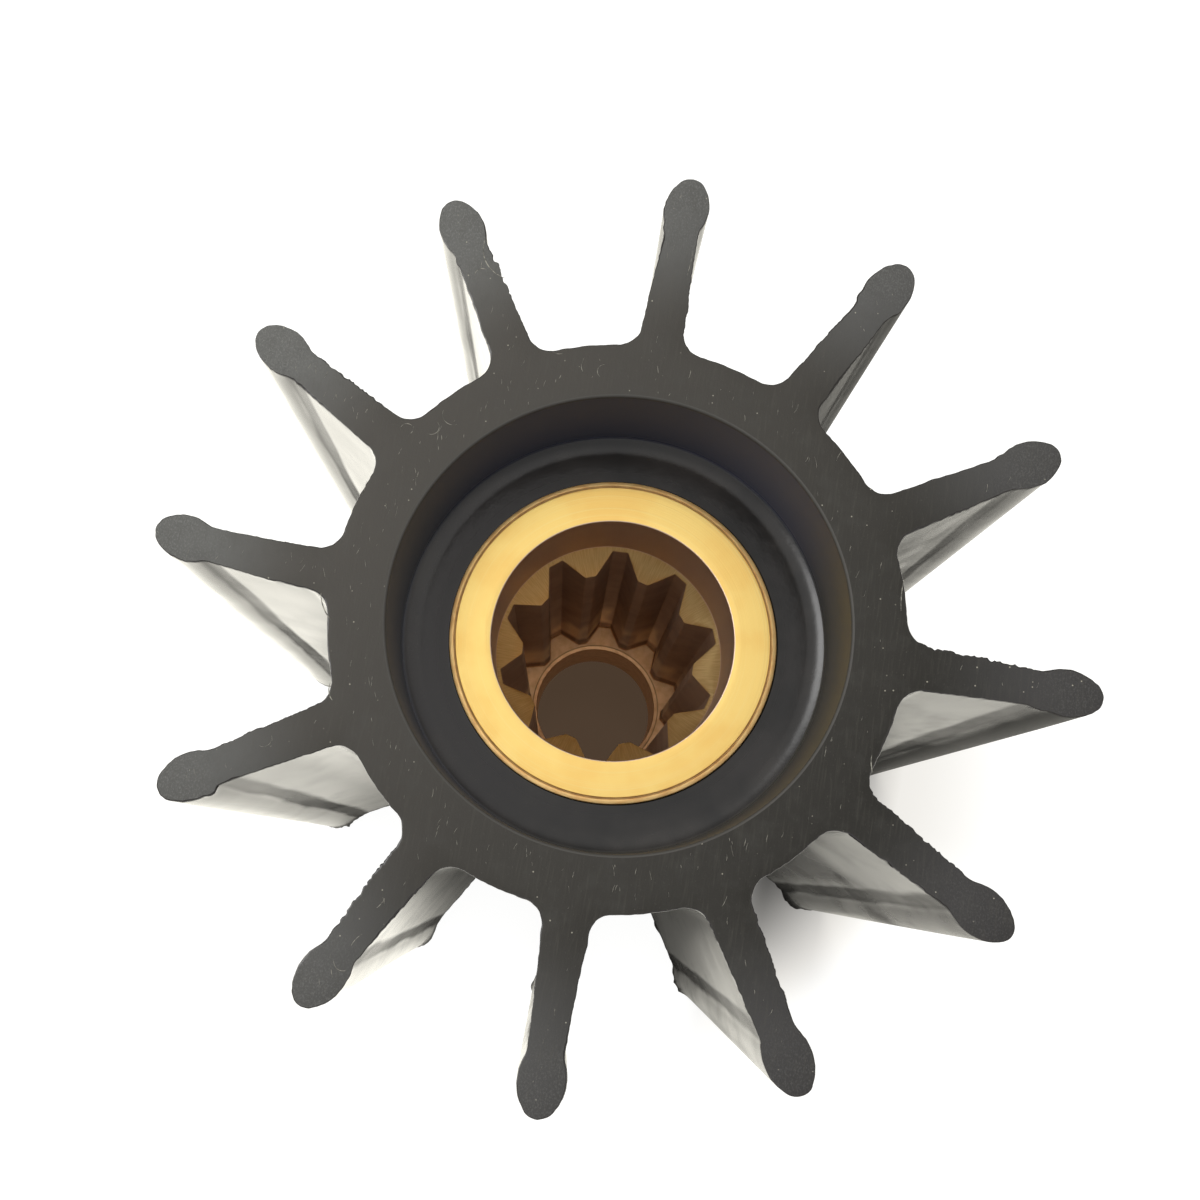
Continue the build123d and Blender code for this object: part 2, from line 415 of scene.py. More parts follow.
def buildRubber(s, finishes):
    rng = np.random.default_rng(s["seed"])
    endFace, side, recess = range(3)                        # places in the list of finishes
    half = evenly(vaneHalf(s), s["step"])
    below = half[:-1] * (1, -1)
    sector = np.concatenate([below[1:], half[::-1][:-1]])   # lower side out to the tip, then back
    local = np.tile(sector, (s["vanes"], 1))                # outline points in their own vane's frame
    angles = np.repeat(np.arange(s["vanes"]) * 360 / s["vanes"], len(sector))
    count = len(local)
    cosine, sine = np.cos(np.radians(angles)), np.sin(np.radians(angles))

    def turned(points):
        return np.stack([points[:, 0] * cosine - points[:, 1] * sine,
                         points[:, 0] * sine + points[:, 1] * cosine], 1)

    outline = turned(local)
    along = np.roll(outline, -1, axis=0) - np.roll(outline, 1, axis=0)
    along /= np.linalg.norm(along, axis=1)[:, None]
    outward = np.stack([along[:, 1], -along[:, 0]], 1)

    def mark(direction, hand, start, end):
        # where a mark lies on the outline, and how far along it each point is
        chosen = (angles == direction) & (np.sign(local[:, 1]) == hand)
        return chosen, np.clip((local[:, 0] - start) / (end - start), 0, 1)

    # how far each point of the top edge stands proud, then of the foot
    proud = np.zeros(count)
    for direction, marks in edgeWear.items():
        for hand, start, end, height, kind in marks:
            chosen, share = mark(direction, hand, start, end)
            window = np.where((share > 0) & (share < 1), np.sin(np.pi * share), 0)
            if kind == "lump":
                proud += np.where(chosen, height * window ** 1.5, 0)
            else:
                teeth = smoothNoise(rng, count, 1.4) * 0.5 + smoothNoise(rng, count, 4) * 0.35
                proud += np.where(chosen, height * np.minimum(1, 2.5 * window) * (teeth + 0.2), 0)
    proud += smoothNoise(rng, count, 2.3) * 0.032 + smoothNoise(rng, count, 6) * 0.02
    footProud = smoothNoise(rng, count, 3.4) * 0.05 + smoothNoise(rng, count, 11) * 0.07
    footProud += np.maximum(0, smoothNoise(rng, count, 14) - 0.45) * 0.5
    for direction, marks in footFlash.items():
        for hand, start, end, height in marks:
            chosen, share = mark(direction, hand, start, end)
            ragged = 0.7 + 0.5 * smoothNoise(rng, count, 5) + 0.3 * smoothNoise(rng, count, 2)
            footProud += np.where(chosen, height * np.sin(np.pi * share) * ragged, 0)

    low, high = s["edgeRound"]
    topRound = (high - low) * (0.5 + 0.5 * smoothNoise(rng, count, 40))
    topRound = np.clip(low + topRound * (0.6 + 0.4 * smoothNoise(rng, count, 7)), low, high)
    reach = np.clip((local[:, 0] - s["hubRadius"]) / (s["tipRadius"] - s["hubRadius"]), 0, 1)

    # heights and outward shifts of the rows of points, from the top edge down to the foot
    top = s["height"] - s["topSink"]
    rings = []
    for drop, inset in ((0.0, 1.0), (0.3, 0.3), (1.0, 0.0)):
        rings.append((top - topRound * drop, -topRound * inset + proud))
    for depth in s["rowDepths"]:
        fade = max(0.0, 1 - depth / s["tornFade"]) ** 1.3
        foot = max(0.0, 1 - (s["height"] - depth) / s["flashFade"]) ** 1.3
        rings.append((np.full(count, s["height"] - depth), proud * fade + footProud * foot))
    for height, inset in ((0.16, 0.0), (0.05, 0.07), (0.0, 0.18)):
        rings.append((np.full(count, height), footProud - inset))

    waveA, waveB, waveC = (smoothNoise(rng, count, period) for period in (60, 95, 34))
    points = []
    for z, push in rings:
        wander = waveA * np.sin(z / 17) + waveB * np.cos(z / 29 + 1) + 0.45 * waveC * np.sin(z / 8)
        wander = s["wander"] * wander * (np.minimum(1, (s["height"] - z) / 9) * (0.3 + 0.7 * reach))
        shifted = local.copy()
        for direction, (lengthways, sideways, kept) in vaneSet.items():
            hold = np.where(angles == direction, reach ** 1.7, 0) * (kept + (1 - kept) * z / s["height"])
            shifted[:, 0] += lengthways * hold
            shifted[:, 1] += sideways * hold
        flatPoints = turned(shifted) + outward * (push + wander)[:, None]
        flatPoints = np.clip(flatPoints, -s["tipRadius"], s["tipRadius"])
        points.append(np.column_stack([flatPoints, z]))
    faces, finish = [], []
    for index in range(len(rings) - 1):
        faces += ringFaces((index + 1) * count, index * count, count)
        finish += [side] * count
    points = np.concatenate(points)

    # recess, lip, seat and foot recess, turned from one profile
    rim, floor, lip, seat = s["recessRadius"], s["recessFloor"], s["lipRadius"], s["seatRadius"]
    wallFoot = rim - math.tan(math.radians(s["recessDraft"])) * (s["height"] - floor)
    swing = math.degrees(math.asin(s["sweepWidth"] / s["sweepRadius"]))
    middle = (wallFoot - s["sweepWidth"], floor + s["sweepRadius"])
    sweep = arcPoints(middle, s["sweepRadius"], swing - 90, -90, s["step"])
    wall = [(rim + 1.0, top, 0), (rim, top, s["rimRound"]), (*sweep[0], s["creaseRound"]), (*sweep[1], 0)]
    profile = roundedPath(wall, 6)[1:] + [tuple(point) for point in sweep[2:]]
    profile += [(seat + 0.8, floor), (lip + 0.08, floor + 0.03)]
    profile += [(lip, floor - 0.05), (lip, floor - s["lipDepth"])]
    profile += roundedPath([(seat, floor - s["lipDepth"] - 0.1, 0), (seat, s["footDepth"], 0),
                            (s["footRadius"], s["footDepth"], s["footCorner"]), (s["footRadius"], 0, 0)], 6)
    turns = s["turns"]
    around = np.radians(np.arange(turns) * 360 / turns)
    start = len(points)
    bored = []
    for radius, z in profile:
        x = np.interp(z, [floor, top], [s["coreShift"], s["rimShift"]]) + radius * np.cos(around)
        bored.append(np.column_stack([x, radius * np.sin(around), np.full(turns, z)]))
    points = np.concatenate([points] + bored)
    for index in range(len(profile) - 1):
        faces += ringFaces(start + (index + 1) * turns, start + index * turns, turns)
        finish += [recess if profile[index + 1][1] > floor - 1 else side] * turns

    def capFace(outer, inner, upward, z):
        # end face: triangles between the outline and the bored edge, from both and a grid of points
        cells = int(s["hubRadius"] / s["capStep"])
        grid = np.arange(-cells, cells + 1) * s["capStep"]
        gridX, gridY = np.meshgrid(grid, grid)
        inside = np.column_stack([gridX.ravel(), gridY.ravel()])
        distance = np.hypot(inside[:, 0], inside[:, 1])
        hub = Vector((float(points[list(inner), 0].mean()), 0))
        innerRadius = float(points[inner[0], 0] - hub.x) * math.cos(math.pi / s["turns"])
        margin = s["capMargin"]
        inside = inside[(distance > innerRadius + margin) & (distance < s["hubRadius"] - margin)]
        ids = list(outer) + list(inner)
        spots = [Vector(points[i, :2]) for i in ids] + [Vector(p) for p in inside]
        edges = [(i, (i + 1) % len(outer)) for i in range(len(outer))]
        edges += [(len(outer) + i, len(outer) + (i + 1) % len(inner)) for i in range(len(inner))]
        loop = list(range(len(outer)))
        found, _, triangles, fromWhich, _, within = delaunay_2d_cdt(spots, edges, [loop], 0, 1e-6, True)
        extra, numbers = [], []
        for place, origin in zip(found, fromWhich):
            known = [o for o in origin if o < len(ids)]
            if known:
                numbers.append(ids[known[0]])
            else:
                numbers.append(len(points) + len(extra))
                extra.append((place.x, place.y, z))
        for triangle, covering in zip(triangles, within):
            middle = sum((found[i] for i in triangle), Vector((0, 0))) / 3
            if covering and (middle - hub).length > innerRadius * 0.9999:
                ordered = [numbers[i] for i in triangle]
                faces.append(tuple(ordered if upward else ordered[::-1]))
                finish.append(endFace)
        return np.concatenate([points, extra])

    points = capFace(range(count), range(start, start + turns), True, top)
    lastRing = (len(rings) - 1) * count
    lastBore = start + (len(profile) - 1) * turns
    points = capFace(range(lastRing, lastRing + count), range(lastBore, lastBore + turns), False, 0.0)
    body = meshObject("rubberHubAndVanes", points, faces, finishes, finish, 32)
    print("rubber body:", len(points), "points", len(faces), "faces")
    return body


def rubberFaceFinish(s):
    c = s["finish"]
    # ground end faces: dry dark grey, painted lighter towards -X and +Y as lit from there, with fine grinding
    # marks, dust and grainy tips
    material, wire = newFinish("rubberEndFace")
    place = millimetres(wire)
    radius = fromAxis(place)
    # painted light: the face is lighter towards -X and +Y, where the light comes from, with a little random
    # tone
    paintedLightSide = dotted(place, (-0.8, 0.47, 0.0)) * 0.01 + 0.5 + (noise(place, 0.05, 3, 0.55) - 0.5) * 0.12
    patch = noise(place, 0.5, 4, 0.6)
    grain = noise(stretched(place, 5.0, 3.0, 1.0), 1.0, 2, 0.6)
    lines = noise(stretched(place, 4.0, 0.30, 1.0), 1.0, 2, 0.5)
    crumbs = noise(stretched(place, 6.0, 4.2, 1.0), 1.0, 3, 0.75)
    tip = radius.ramp(30.0, 42.0)
    torn = (radius + noise(place, 0.12, 2) * 14).ramp(45, 53)
    base = tip.blend(paintedLightSide.shades(c["hub"]), paintedLightSide.shades(c["tips"]))
    base = (patch.ramp(0.45, 0.7) * 0.18).blend(base, shade(c["patches"]))
    base = (lines.ramp(0.5, 0.75) * 0.18).blend(base, shade(c["grindingLines"]))
    base = (grain.ramp(0.6, 0.78) * 0.20).blend(base, shade(c["grain"]))
    # pale crumbs on the torn tips, partly painted sheen: brighter on the lit side
    crumbsAndSheen = crumbs.ramp(0.46, 0.68) * torn * (0.08 + 0.38 * paintedLightSide)
    base = crumbsAndSheen.blend(base, shade(c["crumbs"]))
    specks = place.node("ShaderNodeTexVoronoi", None, {"Vector": place, "Scale": 1.3})
    chosen = specks.node("ShaderNodeSeparateColor", None, {0: specks.also(1)})
    dust = specks.ramp(0.12, 0.06) * chosen.ramp(0.80, 0.88)
    base = (dust * 0.8).blend(base, shade(c["dust"]))
    rough = c["faceRough"] + 0.12 * grain - 0.08 * patch.ramp(0.5, 0.75) + 0.1 * dust - 0.08 * torn * paintedLightSide
    relief = grain * 0.4 + lines * 0.4 + noise(place, 1.6, 3) * 0.6 + crumbs * torn * (0.5 + 2.0 * paintedLightSide)
    surface(wire, {"Base Color": base, "Roughness": rough, "Specular IOR Level": 0.30,
                   "Normal": bump(relief, 0.00006, 0.7)})
    return material


def rubberSideFinish(s):
    c = s["finish"]
    # moulded walls: shiny skin with dull streaks along each vane, painted shade as dull dark patches and in
    # the necks of the beads, darker along the foot
    material, wire = newFinish("rubberMouldedSide")
    place = millimetres(wire)
    radius, angle = fromAxis(place), roundAxis(place)
    x, _, height = split(place)
    bloom = noise(stretched(place, 1, 1, 0.45), 0.09, 3, 0.6)
    scuff = noise(stretched(place, 1, 1, 2.2), 0.4, 4, 0.65)
    streaks = noise(joined(angle * 3.4, radius * 0.07, height * 0.06), 1.0, 2, 0.5)
    smudge = noise(stretched(place, 1, 1, 0.5), 0.10, 3, 0.6)
    ragged = radius + (noise(stretched(place, 1, 1, 0.16), 0.35, 2, 0.5) - 0.5) * 1.6
    paintedNeckShade = ragged.ramp(39.0, 40.0) * ragged.ramp(42.3, 41.5)
    # painted shade: the bead along 0 degrees, and half as much the one along 330, made dull and dark on the
    # side away from the windows
    vane330 = angle.ramp(-0.80, -0.66) * angle.ramp(-0.36, -0.46)
    paintedShadeBeads = radius.ramp(41.0, 43.0) * (angle.ramp(-0.38, -0.22) * angle.ramp(0.36, 0.20) + vane330 * 0.45)
    base = bloom.ramp(0.35, 0.7).shades(c["skin"])
    base = (scuff.ramp(0.62, 0.8) * 0.6).blend(base, shade(c["scuffs"]))
    rough = c["skinRough"] + 0.06 * bloom.ramp(0.4, 0.7) + 0.10 * scuff.ramp(0.6, 0.78)
    relief = noise(place, 0.10, 1, 0.5) + streaks * 0.05 + noise(place, 3.0, 2) * 0.012
    normal = bump(relief, 0.0001, 0.8)
    skin = wire.node("ShaderNodeBsdfPrincipled", None, {"Base Color": base, "Roughness": rough,
                     "Specular IOR Level": 0.45, "IOR": 1.48, "Normal": normal})
    dull = wire.node("ShaderNodeBsdfPrincipled", None, {"Base Color": shade(c["dull"]),
                     "Roughness": c["dullRough"], "Specular IOR Level": 0.22, "Normal": normal})
    dirt = wire.node("ShaderNodeBsdfPrincipled", None, {"Base Color": shade(c["dirt"]),
                     "Roughness": c["dirtRough"], "Specular IOR Level": 0.06, "Normal": normal})
    # painted shade: the vane along 60 degrees made dull and dark, less so those along 210 and 30, standing in
    # for darker reflections
    paintedShadeVanes = angle.ramp(0.72, 0.86) * angle.ramp(1.40, 1.20) * 0.9
    paintedShadeVanes = paintedShadeVanes + angle.ramp(-2.80, -2.70) * angle.ramp(-2.44, -2.54) * radius.ramp(31.0, 35.0) * 0.3
    paintedShadeVanes = paintedShadeVanes + angle.ramp(0.30, 0.42) * angle.ramp(0.66, 0.58) * radius.ramp(31.0, 44.0, 0.5, 0.2)
    # painted shade: the one along 330 made dull some way below its top edge, near the hub, standing in for a
    # darker reflection
    paintedShade330 = vane330 * height.ramp(68.0, 58.0) * radius.ramp(40.0, 37.0)
    paintedShadeVanes = paintedShadeVanes + paintedShade330 * (0.25 + 0.6 * smudge)
    # dull streaks and smudges from handling, fewer towards -X, which paints the sides there lighter, as on
    # the windows' side
    handled = streaks.ramp(0.46, 0.72) * 0.26 + smudge.ramp(0.48, 0.70) * 0.26
    streaksAndPaintedShade = handled * x.ramp(-26.0, 4.0, 0.4, 1.0) + paintedShadeBeads * 0.92 + paintedShadeVanes
    mixed = wire.node("ShaderNodeMixShader", None, {0: wire.math("MINIMUM", streaksAndPaintedShade, 0.95), 1: skin, 2: dull})
    # painted shade in the necks of the beads, stronger further down, and darker along the foot
    foot = (height + (smudge - 0.5) * 5).ramp(3.6, 0.8)
    neckShadeAndDarkFoot = paintedNeckShade * height.ramp(89.0, 30.0, 0.52, 0.84) * (0.55 + 0.85 * smudge)
    neckShadeAndDarkFoot = wire.math("MINIMUM", wire.math("MAXIMUM", neckShadeAndDarkFoot, foot * 0.6), 0.95)
    mixed = wire.node("ShaderNodeMixShader", None, {0: neckShadeAndDarkFoot, 1: mixed, 2: dirt})
    wire.node("ShaderNodeOutputMaterial", None, {"Surface": mixed})
    return material


def rubberRecessFinish(s):
    c = s["finish"]
    # recess round the insert: smoother than the end faces, glossiest on the swept edge of its floor
    material, wire = newFinish("rubberRecess")
    place = millimetres(wire)
    radius = fromAxis(place)
    x, y, height = split(place)
    cloud = noise(place, 0.12, 3, 0.6)
    fine = noise(place, 4.5, 2, 0.6)
    wall = height.ramp(77.1, 78.0)
    wallTone = height.ramp(76.85, 77.2)
    rim = height.ramp(88.3, 88.7)
    # painted light: lighter towards -X, the windows' side, and on the wall towards +Y lighter and bluer, as
    # lit by the sky
    paintedWestLight = x.ramp(4.0, -18.0)
    north = y.ramp(4.0, 20.0) * 0.85
    sweep = radius.ramp(20.2, 21.6)
    base = cloud.ramp(0.35, 0.7).blend(paintedWestLight.shades(c["recessFloor"]), sweep.shades(c["recessSweep"]))
    sides = north.blend(paintedWestLight.shades(c["recessWall"]), shade(c["recessNorth"]))
    base = rim.blend(wallTone.blend(base, sides), shade(c["recessRim"]))
    base = (fine.ramp(0.62, 0.8) * 0.2).blend(base, shade(c["recessSpecks"]))
    rough = c["recessRough"] + 0.05 * cloud + radius.ramp(18.0, 20.0, 0.12, 0.0) + 0.36 * wall
    relief = fine * 0.12 + noise(place, 0.6, 2) * 0.4
    surface(wire, {"Base Color": base, "Roughness": rough, "Specular IOR Level": 0.5,
                   "Normal": bump(relief, 0.00008, 0.6)})
    return material


rubberFinishes = (rubberFaceFinish, rubberSideFinish, rubberRecessFinish)
rubber = buildRubber(rubberSettings, [finish(rubberSettings) for finish in rubberFinishes])
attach(rubber, "root")
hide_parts("rubber_body")


lintSettings = {
    "hairs": 230,
    "length": (0.25, 1.3),
    "width": (0.028, 0.055),
    "thickness": 0.024,
    "segment": 0.12,            # length of each straight piece of a hair
    "lean": 24,                 # degrees either side of +Y
    "bend": 35,                 # largest bend in degrees
    "reach": 46.0,              # none lies past this radius
    "sideReach": 44.0,          # or this far out along X
    "rimMargin": (0.8, 1.3),    # kept this far from the recess and from the hub's rim
    "vaneMargin": 0.9,          # and this close to the middle line of a vane
    "share": (0.55, 0.45, 47),  # share kept at x = 0, and its rise from there to this far along -X
    "colours": ((84, 83, 78), (150, 147, 136)),     # screen colours, 0 to 255, mixed
    "roughness": 0.75,
    "seed": 31,
}

# longer curls and shreds: centre x and y, direction in degrees, length, bend in degrees, width
shreds = [
    (-18.9, 35.2, -55, 5.6, 95, 0.10), (-19.6, 34.0, 20, 1.6, -120, 0.09), (-21.1, 16.1, 60, 2.2, 160, 0.06),
    (-5.7, 25.2, 75, 1.8, -140, 0.06), (26.4, -10.0, -80, 1.7, 25, 0.11),
    (-28.6, -3.7, -58, 3.0, 40, 0.12), (-26.4, -11.9, -70, 1.8, 60, 0.12), (27.3, 6.9, -88, 3.2, 14, 0.10),
    (-24.2, 16.1, 25, 1.7, -150, 0.07), (-20.1, 17.4, -35, 2.6, 130, 0.06), (-23.4, 15.7, 80, 0.9, 60, 0.08),
    (-10.2, 26.3, 5, 1.4, 80, 0.05), (19.4, 20.0, 70, 1.1, -30, 0.06), (-27.0, 9.0, 85, 1.5, 20, 0.05),
    (-31.5, -18.0, 40, 1.5, 110, 0.06), (-17.6, -30.9, 62, 1.2, 30, 0.07), (-19.3, -34.6, 55, 1.6, -35, 0.07),
    (-20.4, -37.4, -20, 1.9, 120, 0.07), (1.7, 38.2, 86, 2.8, 8, 0.05), (14.6, 24.3, 75, 1.0, 40, 0.06),
]


def buildLint(s, rubberShape, finish):
    rng = np.random.default_rng(s["seed"])
    points, faces = [], []

    def hair(x, y, direction, length, bend, width):
        steps = max(4, int(length / s["segment"]))
        turn = math.radians(direction - bend / 2)
        spot = np.array([0.0, 0.0])
        line = [spot.copy()]
        for _ in range(steps):
            spot = spot + np.array([math.cos(turn), math.sin(turn)]) * length / steps
            line.append(spot.copy())
            turn += math.radians(bend) / steps
        line = np.array(line)
        line += np.array([x, y]) - line.mean(axis=0)
        along = np.gradient(line, axis=0)
        along /= np.linalg.norm(along, axis=1)[:, None]
        across = np.stack([-along[:, 1], along[:, 0]], 1)
        first = len(points)
        base = rubberShape["height"] - rubberShape["topSink"]
        for index, (spot, side) in enumerate(zip(line, across)):
            half = width / 2 * math.sin(math.pi * (0.12 + 0.76 * index / (len(line) - 1)))
            for offset, lift in ((-1, 0), (-0.4, 1), (0.4, 1), (1, 0)):
                points.append((*(spot + side * half * offset), base + s["thickness"] * lift))
        for index in range(len(line) - 1):
            here = first + index * 4
            for step in range(3):
                faces.append((here + step + 1, here + step, here + step + 4, here + step + 5))

    for shred in shreds:
        hair(*shred)
    rim = rubberShape["recessRadius"] + s["rimMargin"][0]
    hub = rubberShape["hubRadius"] - s["rimMargin"][1]
    halfPitch = 180 / rubberShape["vanes"]
    made = 0
    while made < s["hairs"]:
        radius = math.sqrt(rng.uniform(rim ** 2, s["reach"] ** 2))
        angle = rng.uniform(0, 360)
        offVane = abs((angle + halfPitch) % (2 * halfPitch) - halfPitch) * math.pi / 180 * radius
        if radius > hub and offVane > s["vaneMargin"]:
            continue
        x, y = radius * math.cos(math.radians(angle)), radius * math.sin(math.radians(angle))
        middle, rise, span = s["share"]
        if rng.uniform() > middle - rise * x / span or abs(x) > s["sideReach"]:
            continue
        length = rng.uniform(*s["length"]) * rng.uniform(0.5, 1)
        direction = 90 + rng.uniform(-1, 1) * s["lean"]
        hair(x, y, direction, length, rng.uniform(-s["bend"], s["bend"]), rng.uniform(*s["width"]))
        made += 1
    piece = meshObject("rubberLint", points, faces, [finish])
    print("lint:", len(points), "points", len(faces), "faces")
    return piece


def lintFinish(s):
    # pale rubber dust and shreds
    material, wire = newFinish("paleRubberDust")
    place = millimetres(wire)
    fleck = noise(place, 2.5, 2, 0.5)
    base = fleck.ramp(0.35, 0.65).shades(s["colours"])
    surface(wire, {"Base Color": base, "Roughness": s["roughness"] + 0.1 * fleck, "Specular IOR Level": 0.2,
                   "Normal": bump(fleck, 0.00002, 0.4)})
    return material


lint = buildLint(lintSettings, rubberSettings, lintFinish(lintSettings))
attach(lint, "root")


brassSettings = {
    "radius": 18.0,
    "face": 76.9,
    "foot": 4.0,
    "landRadius": 16.92,        # outer edge of the bright turned face
    "scoreDepth": 0.10,         # fine groove between the face and its dull outer ring
    "edgeRadius": 17.60,        # outer edge that shows inside the rubber lip
    "ringDrop": 0.06,           # fall of the outer ring to the outer edge
    "footChamfer": 0.6,
    "boreRadius": 13.05,
    "boreFloor": 65.7,
    "mouthRound": 0.14,
    "floorRound": 0.05,
    "teeth": 10,
    "minorRadius": 10.1,
    "majorRadius": 12.6,
    "grooveWidth": 1.8,
    "flankAngle": 30.0,
    "toothRound": 0.45,
    "leadIn": 38.0,
    "ledge": 16.4,
    "pilotRadius": 9.0,
    "pilotChamfer": 0.4,
    "pilotLip": (0.62, 0.17),   # width and fall of the worn chamfer at the ledge
    "firstGroove": 92.4,        # degrees anticlockwise from +X
    "grooveCorner": 0.08,
    "pitchPoints": 49,          # along one tooth and groove, before the corners' own
    "shift": 0.18,              # the bush is bonded this far off centre
    "seed": 5,
    # linear colours and roughness; where there are two colours, they are mixed
    "finish": {
        "turned": ((0.97, 0.69, 0.225), (0.94, 0.62, 0.185)),
        "feedLines": (0.96, 0.80, 0.38),
        "ring": ((0.98, 0.67, 0.29), (0.88, 0.53, 0.21)),
        "score": (0.30, 0.17, 0.07),
        "bore": ((0.62, 0.455, 0.335), (0.54, 0.38, 0.28)),
        "drawnLines": (0.64, 0.46, 0.33),
        "counterbore": (0.84, 0.62, 0.46),
        "burrs": (1.0, 0.80, 0.56),
        "grooveEnds": (0.34, 0.23, 0.16),
        "leadIn": ((0.73, 0.53, 0.23), (0.87, 0.66, 0.31)),
        "ledge": ((0.88, 0.57, 0.31), (0.76, 0.47, 0.24)),
        "ledgeLine": (0.40, 0.24, 0.12),
        "turnedRough": 0.30,
        "ringRough": 0.38,
        "boreRough": 0.40,
        "leadInRough": 0.29,
        "ledgeRough": 0.38,
    },
}


def splineOutline(s):
    # one pitch of the socket, then all of them, as points round the axis
    flank = math.tan(math.radians(s["flankAngle"]))
    halfTop = s["grooveWidth"] / 2
    major, minor = s["majorRadius"], s["minorRadius"]
    crossing = minor
    for _ in range(20):
        half = halfTop + (major - crossing) * flank
        crossing = math.sqrt(minor ** 2 - half ** 2)
    pitch = math.radians(360 / s["teeth"])
    toothX, toothY = minor * math.cos(pitch / 2), minor * math.sin(pitch / 2)
    tooth, groove = s["toothRound"] * 0.9, s["grooveCorner"]
    rough = np.array(roundedPath([(toothX, -toothY, 0), (crossing, -half, tooth), (major, -halfTop, groove),
                                  (major, halfTop, groove), (crossing, half, tooth), (toothX, toothY, 0)], 5))
    lengths = np.concatenate([[0], np.cumsum(np.hypot(*np.diff(rough, axis=0).T))])
    places = np.unique(np.concatenate([lengths, np.linspace(0, lengths[-1], s["pitchPoints"])]).round(4))
    places = places[np.concatenate([[True], np.diff(places) > 0.03])]
    x = np.interp(places, lengths, rough[:, 0])
    y = np.interp(places, lengths, rough[:, 1])
    radius, angle = np.hypot(x, y), np.arctan2(y, x)
    onTooth = np.abs(angle) > math.atan2(half, crossing) + 0.012
    radius = np.where(onTooth, minor, radius)
    radius, angle = radius[:-1], angle[:-1]
    turns = np.arange(s["teeth"]) * pitch + math.radians(s["firstGroove"])
    return np.tile(radius, s["teeth"]), (angle[None, :] + turns[:, None]).ravel()


def buildBrass(s, finishes):
    rng = np.random.default_rng(s["seed"])
    faced, stained, bored, cone, shelf = range(5)           # places in the list of finishes
    radius, angle = splineOutline(s)
    count = len(radius)
    cosine, sine = np.cos(angle), np.sin(angle)
    full = np.ones(count)
    slope = math.tan(math.radians(s["leadIn"]))
    face, land = s["face"], s["landRadius"]
    bore, floor = s["boreRadius"], s["boreFloor"]
    nick = smoothNoise(rng, count, 5) * 0.012 + smoothNoise(rng, count, 15) * 0.01
    burr = np.maximum(0, smoothNoise(rng, count, 4)) * 0.03
    rings, finish = [], []

    def ring(r, z, kind):
        rings.append(np.column_stack([s["shift"] + r * cosine, r * sine, z * full]))
        finish.append(kind)

    pilot, chamfer, mouthRound = s["pilotRadius"], s["pilotChamfer"], s["mouthRound"]
    ledge, foot = s["ledge"], s["foot"]
    ring(pilot + chamfer, foot, faced)
    ring(s["radius"] - s["footChamfer"], foot, cone)
    ring(s["radius"], foot + s["footChamfer"], cone)
    # outer ring, the groove inside it, and the turned face
    edge, outer, groove = s["edgeRadius"], face - s["ringDrop"], face - s["scoreDepth"]
    ring(s["radius"], face - 1.0, stained)
    ring(edge, face - 0.75, stained)
    ring(edge, outer - 0.12, stained)
    ring(edge - 0.03, outer - 0.03 + nick, stained)
    ring(edge - 0.10, outer + nick, stained)
    ring(land + 0.22, face - 0.03 + nick * 0.5, stained)
    ring(land + 0.14, groove, stained)
    ring(land + 0.05, groove, stained)
    ring(land - 0.05, face - 0.006, faced)
    ring(land - 0.12, face, faced)
    for share in (0.8, 0.6, 0.4, 0.2):
        ring(bore + mouthRound + (land - bore) * share * 0.98, face, faced)
    # counterbore
    for turn in (0, 22.5, 45, 67.5, 90):
        lift = math.radians(turn)
        ring(bore + mouthRound * (1 - math.sin(lift)), face - mouthRound * (1 - math.cos(lift)), bored)
    for share in (0.3, 0.6, 0.9):
        ring(bore, face - (face - floor) * share, bored)
    ring(bore, floor + s["floorRound"], bored)
    # cone that cuts the teeth's upper ends
    coneRim = bore - s["floorRound"]
    ring(coneRim, floor, cone)
    for share in (0.34, 0.67, 0.96):
        between = coneRim + (radius - coneRim) * share
        ring(between, floor - (coneRim - between) * slope, cone)
    # spline
    mouth = floor - (coneRim - radius) * slope
    ring(radius - 0.012, mouth - 0.02 - burr, bored)
    ring(radius, mouth - 0.12, bored)
    for share in (0.12, 0.25, 0.4, 0.55, 0.7, 0.85):
        ring(radius, mouth + (ledge - mouth) * share, bored)
    # ledge, its worn chamfer and the plain bore
    lip, fall = s["pilotLip"]
    ring(radius, ledge + 0.15, shelf)
    ring(radius - 0.12, ledge, shelf)
    ring(pilot + lip + (radius - pilot - lip) * 0.5, ledge, shelf)
    ring(pilot + lip, ledge, shelf)
    ring(pilot + lip - 0.05, ledge - 0.05, shelf)
    ring(pilot + 0.06, ledge - fall, shelf)
    ring(pilot, ledge - fall - 0.08, shelf)
    for share in (0.33, 0.66):
        ring(pilot, ledge - chamfer - (ledge - foot - 2 * chamfer) * share, shelf)
    ring(pilot, foot + chamfer, bored)

    faces, kinds = [], []
    for index in range(len(rings)):
        following = (index + 1) % len(rings)
        faces += ringFaces(index * count, following * count, count)
        kinds += [finish[index]] * count
    body = meshObject("brassSplineInsert", np.concatenate(rings), faces, finishes, kinds, 28)
    print("brass insert:", count * len(rings), "points", len(faces), "faces")
    return body


def brassSurface(wire, base, rough, normal):
    surface(wire, {"Base Color": base, "Metallic": 1.0, "Roughness": rough, "Normal": normal})


